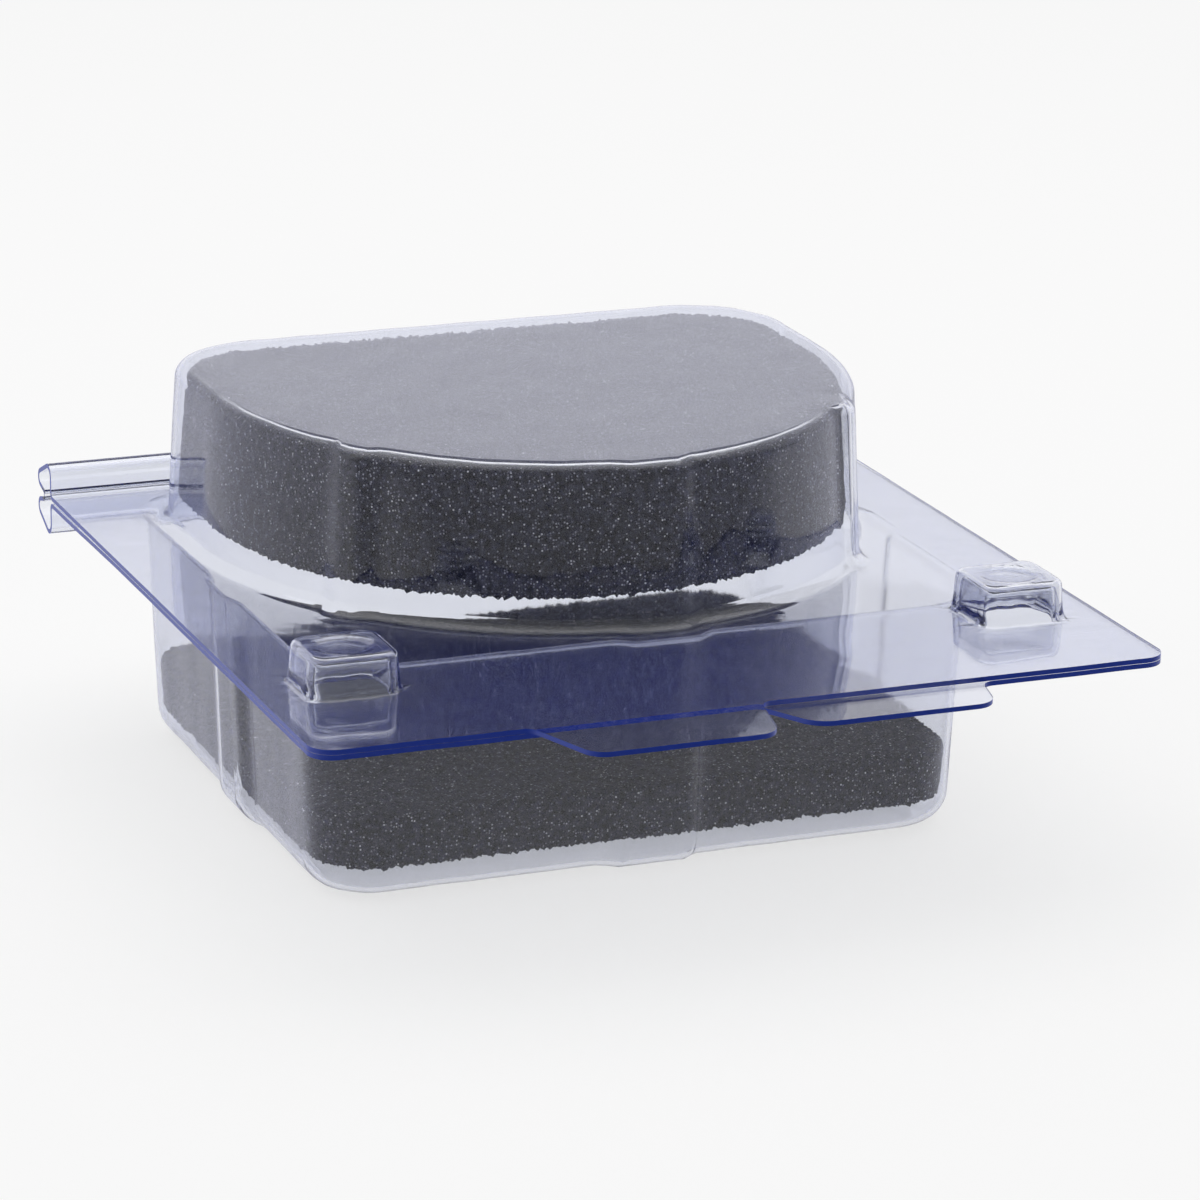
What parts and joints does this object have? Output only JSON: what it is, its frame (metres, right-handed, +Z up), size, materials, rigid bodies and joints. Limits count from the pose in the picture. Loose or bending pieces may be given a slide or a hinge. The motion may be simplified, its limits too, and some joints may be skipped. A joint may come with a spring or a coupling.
{
  "type": "hinged denture box",
  "caption": "Clear formed plastic clamshell box for dentures: square ribbed tray, D-shaped domed lid on a beaded fold hinge, snap bosses, opening tabs and a foam pad in each half.",
  "frame": {"origin": "middle of the tray's resting face, on the surface the box stands on", "axes": "+Z up, -Y to the front with the opening tabs, +Y to the hinge at the back, +X to the right seen from the front"},
  "size_m": [0.09, 0.1043, 0.0434],
  "materials": {
    "clear_sheet": "clear blue-tinted formed sheet, glossy",
    "foam": "fine open-cell charcoal foam, matte"
  },
  "bodies": {
    "base": {"tray": "clear_sheet", "base_foam_pad": "foam"},
    "cover": {"lid": "clear_sheet", "lid_foam_pad": "foam"}
  },
  "joints": [
    {"name": "lid_hinge", "type": "hinge", "parent": "base", "child": "cover", "pos_m": [0, 0.0396, 0.0253], "axis": [-1, 0, 0], "range_deg": [0, 180]}
  ]
}
